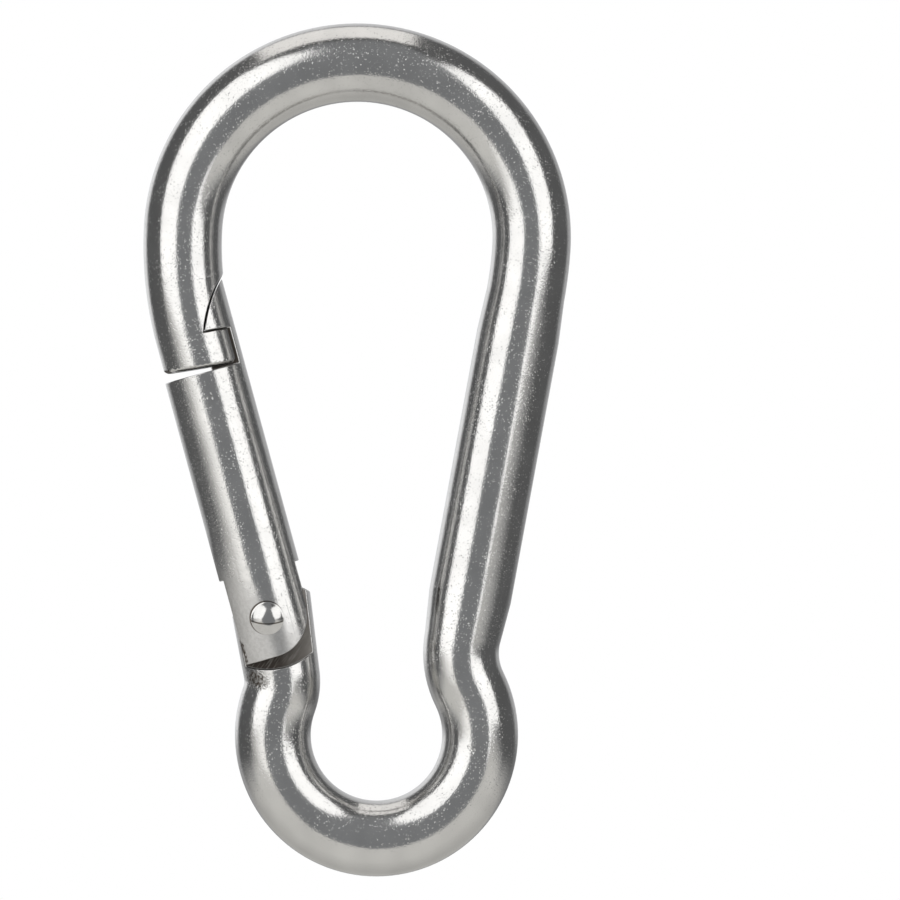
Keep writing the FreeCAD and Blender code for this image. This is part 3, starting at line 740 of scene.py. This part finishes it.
def spring_tree(material):
    """Node tree of the spring: a helix with its turns closer at both ends, swept with round wire."""
    tree = bpy.data.node_groups.new("compression_spring", "GeometryNodeTree")
    tree.interface.new_socket("Geometry", in_out="OUTPUT", socket_type="NodeSocketGeometry")
    for name in ("Wire", "Coil Radius", "Turns", "Height"):
        tree.interface.new_socket(name, in_out="INPUT", socket_type="NodeSocketFloat")
    given = add(tree, "NodeGroupInput").outputs
    helix = add(tree, "GeometryNodeCurveSpiral", {
        "Resolution": 40, "Rotations": given["Turns"], "Start Radius": given["Coil Radius"],
        "End Radius": given["Coil Radius"], "Height": 0.0})
    share = add(tree, "GeometryNodeSplineParameter").outputs["Factor"]
    eased = add(tree, "ShaderNodeMapRange", {"Value": share}, interpolation_type="SMOOTHSTEP").outputs[0]
    climb = add(tree, "ShaderNodeMix", {0: 0.6, 2: share, 3: eased}).outputs[0]
    room = add(tree, "ShaderNodeMath", {0: given["Height"], 1: given["Wire"]}, operation="SUBTRACT").outputs[0]
    foot = add(tree, "ShaderNodeMath", {0: given["Wire"], 1: 0.5}, operation="MULTIPLY").outputs[0]
    rise = add(tree, "ShaderNodeMath", {0: climb, 1: room, 2: foot}, operation="MULTIPLY_ADD").outputs[0]
    lift = add(tree, "ShaderNodeCombineXYZ", {"Z": rise}).outputs[0]
    placed = add(tree, "GeometryNodeSetPosition", {"Geometry": helix.outputs[0], "Offset": lift})
    wire = add(tree, "GeometryNodeCurvePrimitiveCircle", {"Resolution": 16, "Radius": foot})
    swept = add(tree, "GeometryNodeCurveToMesh", {
        "Curve": placed.outputs[0], "Profile Curve": wire.outputs[0], "Fill Caps": True})
    real = add(tree, "GeometryNodeRealizeInstances", {"Geometry": swept.outputs[0]})
    dressed = add(tree, "GeometryNodeSetMaterial", {"Geometry": real.outputs[0], "Material": material})
    add(tree, "NodeGroupOutput", {"Geometry": dressed.outputs[0]})
    return tree


class HOOK_OT_spring(bpy.types.Operator):
    """Makes the compression spring that lies in the gate's bore above the plunger"""

    bl_idname = "hammock_hook.spring"
    bl_label = "Gate spring"

    def execute(self, context):
        given = context.scene.hook_spring
        tree = spring_tree(turned_steel("drawn_spring_wire", tint=(0.70, 0.70, 0.71), pitch=0.15, finish=0.22))
        draft = show("spring_draft", bpy.data.meshes.new("spring_draft"))
        maker = draft.modifiers.new("spring", "NODES")
        maker.node_group = tree
        sizes = {"Wire": given.wire, "Coil Radius": given.coil, "Turns": given.turns,
                 "Height": given.high - given.low}
        for item in tree.interface.items_tree:
            if item.in_out == "INPUT":
                maker[item.identifier] = sizes[item.name]
        context.view_layer.update()
        mesh = bpy.data.meshes.new_from_object(draft.evaluated_get(context.evaluated_depsgraph_get()))
        bpy.data.objects.remove(draft)
        mesh.name = "gate_spring_wound"
        axis = at(GATE_AXIS_U, 0)
        upright = Vector((0, 0, 1)).rotation_difference(GATE_UP).to_matrix().to_4x4()
        mesh.transform(Matrix.Translation(axis + GATE_UP * given.low) @ upright)
        mesh.polygons.foreach_set("use_smooth", [True] * len(mesh.polygons))
        obj = show("gate_spring_wound", mesh)
        seat(obj, "gate_arm", "gate_spring")
        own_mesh(obj)
        return {"FINISHED"}


# The stage: white ground, pale floor and a light tent that the steel mirrors

# Outlines of the cards as seen from the hook: (right, up) per unit of distance towards the camera
SOFTBOX_LEFT = ((-0.39, -0.02), (-0.10, 0.95), (-0.60, 1.74), (-2.6, 3.7), (-3.2, 2.75), (-2.75, 1.35),
                (-2.3, 0.0), (-2.2, -0.10), (-0.60, -0.13))
SOFTBOX_RIGHT = ((0.60, -0.10), (0.43, 0.14), (0.37, 0.95), (1.10, 2.12), (2.4, 3.0), (2.85, 2.75), (2.38, 1.37),
                 (2.13, 0.35), (1.95, 0.0))
SOFTBOX_FOOT = ((0.58, -0.05), (0.55, -0.24), (0.66, -0.26), (0.72, -0.05))
SOFTBOX_SKIRT = ((-0.48, -0.05), (-0.56, -0.32), (-1.5, -0.50), (-2.6, -0.45), (-2.5, -0.08))
GAP = ((-0.3, 0.0), (0.45, 0.0), (0.6, 2.6), (-0.6, 2.6))
CAMERA_CARD = [(0.10 + 0.60 * math.cos(math.pi * i / 32), -0.08 + 0.60 * math.sin(math.pi * i / 32))
               for i in range(64)]
# The sweep overhead: angles in degrees across from straight up, and away from the camera's direction
SWEEP_SPREAD, SWEEP_RISE = (-27, 15), (78, 126)


def close_glow(tree, colour, strength):
    """Shader of a card or cloth that gives light."""
    light = add(tree, "ShaderNodeEmission", {"Color": colour, "Strength": strength})
    add(tree, "ShaderNodeOutputMaterial", {"Surface": light.outputs[0]})


def glow(name, colour, strength):
    """Plain glowing card; it is seen only in the steel."""
    material, tree = new_tree(name)
    close_glow(tree, linear(colour), strength)
    return material


def skirt_cloth(name):
    """Cloth under the left softbox, brightest near the camera and dimmer to the side."""
    material, tree, place = placed_tree(name)
    parts = add(tree, "ShaderNodeSeparateXYZ", {0: place}).outputs
    aside = add(tree, "ShaderNodeMath", {0: parts["X"], 1: parts["Y"]}, operation="DIVIDE").outputs[0]
    level = add(tree, "ShaderNodeMapRange", {
        "Value": aside, "From Min": 0.6, "From Max": 1.7, "To Min": 1.36, "To Max": 0.54}).outputs[0]
    close_glow(tree, linear("#FFFEFC"), level)
    return material


def tent_cloth(name):
    """Glow of the tent by direction, with limits on the parts of the way from the hook.

    The sides are dark, the table below is light and reaches to the front,
    and the rear wall is light above its foot.
    """
    material, tree, place = placed_tree(name)
    way = add(tree, "ShaderNodeVectorMath", {0: place}, operation="NORMALIZE").outputs[0]
    parts = add(tree, "ShaderNodeSeparateXYZ", {0: way}).outputs
    brink = add(tree, "ShaderNodeMapRange", {
        "Value": parts["Y"], "From Min": -0.75, "From Max": -0.1, "To Min": -0.15, "To Max": -0.43}).outputs[0]
    depth = add(tree, "ShaderNodeMath", {0: brink, 1: parts["Z"]}, operation="SUBTRACT").outputs[0]
    table = add(tree, "ShaderNodeMapRange", {
        "Value": depth, "From Min": -0.18, "From Max": 0.06}).outputs[0]
    shade = add(tree, "ShaderNodeMapRange", {
        "Value": parts["Y"], "From Min": -0.3, "From Max": 0.5, "To Min": 0.765, "To Max": 0.57}).outputs[0]
    rear = add(tree, "ShaderNodeMapRange", {
        "Value": parts["Y"], "From Min": 0.54, "From Max": 0.76}, interpolation_type="SMOOTHSTEP").outputs[0]
    side = add(tree, "ShaderNodeMapRange", {
        "Value": parts["X"], "From Min": -0.5, "From Max": 0.5, "To Min": 1.03, "To Max": 0.5}).outputs[0]
    foot = add(tree, "ShaderNodeMapRange", {
        "Value": parts["Z"], "From Min": -0.17, "From Max": -0.04, "To Min": 0.42, "To Max": 1.0}).outputs[0]
    wall = add(tree, "ShaderNodeMath", {0: side, 1: foot}, operation="MULTIPLY").outputs[0]
    level = add(tree, "ShaderNodeMix", {0: rear, 2: 0.135, 3: wall}).outputs[0]
    level = add(tree, "ShaderNodeMix", {0: table, 2: level, 3: shade}).outputs[0]
    tint = add(tree, "ShaderNodeMix", {
        0: table, 6: linear("#FCFDFF"), 7: linear("#FFFEFA")}, data_type="RGBA").outputs[2]
    close_glow(tree, tint, level)
    return material


def card(name, outline, middle, reach, material):
    """Card seen from the hook through an outline of (right, up) per unit of distance towards the camera."""
    mesh = bpy.data.meshes.new(name)
    points = [Vector((a, -1, b)).normalized() * reach for a, b in outline]
    mesh.from_pydata(points, [], [list(range(len(points)))])
    obj = show(name, mesh, [material])
    obj.location = middle
    return obj


def only_mirrored(obj):
    """Shows a card in the steel's reflections alone."""
    obj.visible_camera = False
    obj.visible_diffuse = False
    obj.visible_transmission = False
    obj.visible_shadow = False


def tent_mesh(name, radius):
    """Round tent about the hook."""
    bm = bmesh.new()
    bmesh.ops.create_uvsphere(bm, u_segments=96, v_segments=48, radius=radius)
    bmesh.ops.reverse_faces(bm, faces=bm.faces)
    return finished(bm, name)


def sweep_mesh(name, radius, spread, rise):
    """Curved strip overhead, given by its angles from straight up and from the camera's direction."""
    rows, columns = 9, 9
    points = []
    for i in range(rows):
        away = math.radians(rise[0] + (rise[1] - rise[0]) * i / (rows - 1))
        for j in range(columns):
            lean = math.radians(spread[0] + (spread[1] - spread[0]) * j / (columns - 1))
            points.append(Vector((math.sin(away) * math.sin(lean), -math.cos(away),
                                  math.sin(away) * math.cos(lean))) * radius)
    faces = [(i * columns + j, i * columns + j + 1, (i + 1) * columns + j + 1, (i + 1) * columns + j)
             for i in range(rows - 1) for j in range(columns - 1)]
    mesh = bpy.data.meshes.new(name)
    mesh.from_pydata(points, [], faces)
    return mesh


def white_world(scene):
    """White ground for the camera and in the steel, plain light for everything else."""
    world = bpy.data.worlds.new("white_ground")
    scene.world = world
    world.use_nodes = True
    tree = world.node_tree
    tree.nodes.clear()
    path = add(tree, "ShaderNodeLightPath").outputs
    seen = path["Is Camera Ray"]
    for kind in ("Is Glossy Ray", "Is Transmission Ray"):
        seen = add(tree, "ShaderNodeMath", {0: seen, 1: path[kind]}, operation="MAXIMUM").outputs[0]
    level = add(tree, "ShaderNodeMix", {0: seen, 2: 0.8, 3: 1.0}).outputs[0]
    light = add(tree, "ShaderNodeBackground", {"Color": (1, 1, 1, 1), "Strength": level})
    add(tree, "ShaderNodeOutputWorld", {"Surface": light.outputs[0]})


def pale_floor(height):
    """Round sheet of matt paper under the hook; it takes the shadow."""
    material, tree, place = placed_tree("matt_paper")
    fibre = add(tree, "ShaderNodeTexNoise", {"Vector": place, "Scale": 1 / (2 * MM), "Detail": 3.0}).outputs[0]
    colour = add(tree, "ShaderNodeMix", {0: fibre, 6: linear("#F1F0EE"), 7: linear("#F7F6F4")}, data_type="RGBA")
    shader = add(tree, "ShaderNodeBsdfPrincipled", {"Base Color": colour.outputs[2], "Roughness": 0.9})
    add(tree, "ShaderNodeOutputMaterial", {"Surface": shader.outputs[0]})
    bm = bmesh.new()
    bmesh.ops.create_circle(bm, cap_ends=True, segments=96, radius=0.25)
    floor = show("paper_floor", finished(bm, "paper_floor"), [material])
    floor.location = (0, 0, height)
    floor.visible_glossy = False
    return floor


class HOOK_OT_stage(bpy.types.Operator):
    """Sets the camera, the white ground, the pale floor and the light tent"""

    bl_idname = "hammock_hook.stage"
    bl_label = "Stage"

    def execute(self, context):
        scene, given = context.scene, context.scene.hook_stage
        scene.view_settings.view_transform = "Standard"
        white_world(scene)
        middle = Vector((0, 0, sum(corner[2] for corner in CAD_BOX) / 2))
        soft = glow("softbox_cloth", "#FFFFFF", 1.6)
        dark = glow("dark_card", "#F6F9FD", 0.275)
        skirt = skirt_cloth("skirt_cloth")
        floor = pale_floor(given.floor_drop)
        tent = show("light_tent", tent_mesh("light_tent", given.tent), [tent_cloth("tent_cloth")])
        tent.location = middle
        sweep = show("top_sweep", sweep_mesh("top_sweep", 0.95 * given.tent, SWEEP_SPREAD, SWEEP_RISE),
                     [glow("sweep_cloth", "#FFFDFB", 1.15)])
        sweep.location = middle
        # Each card's share of the tent's radius: the softboxes hang in front of the skirt and the dark cards
        cards = [tent, sweep]
        for name, outline, share, cloth in (
                ("softbox_left", SOFTBOX_LEFT, 0.80, soft), ("softbox_right", SOFTBOX_RIGHT, 0.80, soft),
                ("softbox_foot", SOFTBOX_FOOT, 0.80, soft), ("softbox_skirt", SOFTBOX_SKIRT, 0.86, skirt),
                ("camera_card", CAMERA_CARD, 0.92, dark), ("gap_card", GAP, 0.92, dark)):
            cards.append(card(name, outline, middle, share * given.tent, cloth))
        for obj in cards:
            only_mirrored(obj)
        lamp = bpy.data.lights.new("overhead_softbox", "AREA")
        lamp.shape, lamp.size, lamp.energy = "DISK", 0.35, 3.0
        overhead = bpy.data.objects.new("overhead_softbox", lamp)
        overhead.location = (0.05, -0.15, 0.5)
        overhead.rotation_euler = (Vector((0, 0, -0.05)) - overhead.location).to_track_quat("-Z", "Y").to_euler()
        overhead.visible_glossy = False
        scene.collection.objects.link(overhead)
        camera = bpy.data.cameras.new("camera")
        camera.lens, camera.sensor_width = given.lens, 36.0
        camera.clip_start, camera.clip_end = 0.01, 10.0
        viewer = bpy.data.objects.new("camera", camera)
        viewer.location = Vector(given.aim) - Vector((0, given.distance, 0))
        viewer.rotation_euler = (math.pi / 2, 0, 0)
        scene.collection.objects.link(viewer)
        scene.camera = viewer
        return {"FINISHED"}


class HOOK_PT_panel(bpy.types.Panel):
    """Lists the hook's pieces and its stage"""

    bl_idname = "HOOK_PT_panel"
    bl_label = "Hammock hook"
    bl_space_type = "VIEW_3D"
    bl_region_type = "UI"
    bl_category = "Hook"

    def draw(self, context):
        for operator in OPERATORS:
            self.layout.operator(operator.bl_idname)
        for name in SETTINGS:
            group = getattr(context.scene, name)
            box = self.layout.box()
            for key in group.__annotations__:
                box.prop(group, key)


SETTINGS = {"hook_steel": SteelSettings, "hook_spring": SpringSettings, "hook_stage": StageSettings}
OPERATORS = (HOOK_OT_stage, HOOK_OT_body, HOOK_OT_gate, HOOK_OT_rivet, HOOK_OT_plunger, HOOK_OT_spring)


def register():
    for cls in (*SETTINGS.values(), *OPERATORS, HOOK_PT_panel):
        bpy.utils.register_class(cls)
    for name, cls in SETTINGS.items():
        setattr(bpy.types.Scene, name, bpy.props.PointerProperty(type=cls))


def unregister():
    for name in SETTINGS:
        delattr(bpy.types.Scene, name)
    for cls in reversed((*SETTINGS.values(), *OPERATORS, HOOK_PT_panel)):
        bpy.utils.unregister_class(cls)


def main():
    register()
    bpy.ops.hammock_hook.stage()
    bpy.ops.hammock_hook.body()
    bpy.ops.hammock_hook.gate()
    bpy.ops.hammock_hook.rivet()
    bpy.ops.hammock_hook.plunger()
    bpy.ops.hammock_hook.spring()


if __name__ == "__main__":
    main()
